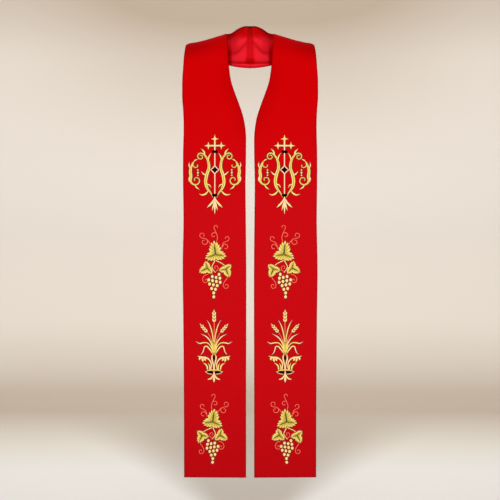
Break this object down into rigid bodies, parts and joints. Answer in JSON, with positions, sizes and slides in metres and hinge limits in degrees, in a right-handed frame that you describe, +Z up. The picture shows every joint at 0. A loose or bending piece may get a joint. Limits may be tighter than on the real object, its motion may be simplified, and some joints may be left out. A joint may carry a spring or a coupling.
{
  "type": "clerical stole",
  "caption": "Clerical stole in its worn shape: a lined cloth band round the neck and over the shoulders, with long panels hanging straight down the front, embroidered in gold.",
  "frame": {"origin": "on the middle of the wearer's neck, level with the place where the band crosses the shoulder beside the neck", "axes": "+X to the wearer's left, -Y to the front, where the panels hang, +Z up"},
  "size_m": [0.3512, 0.2039, 1.1818],
  "materials": {
    "outer_cloth": "matte plain weave",
    "lining_satin": "soft satin weave",
    "gold_thread": "satin-stitched thread with a silky sheen",
    "dark_thread": "satin-stitched thread with a silky sheen"
  },
  "bodies": {
    "root": {"outer_left": "outer_cloth", "outer_right": "outer_cloth", "lining_left": "lining_satin", "lining_right": "lining_satin"}
  },
  "joints": []
}
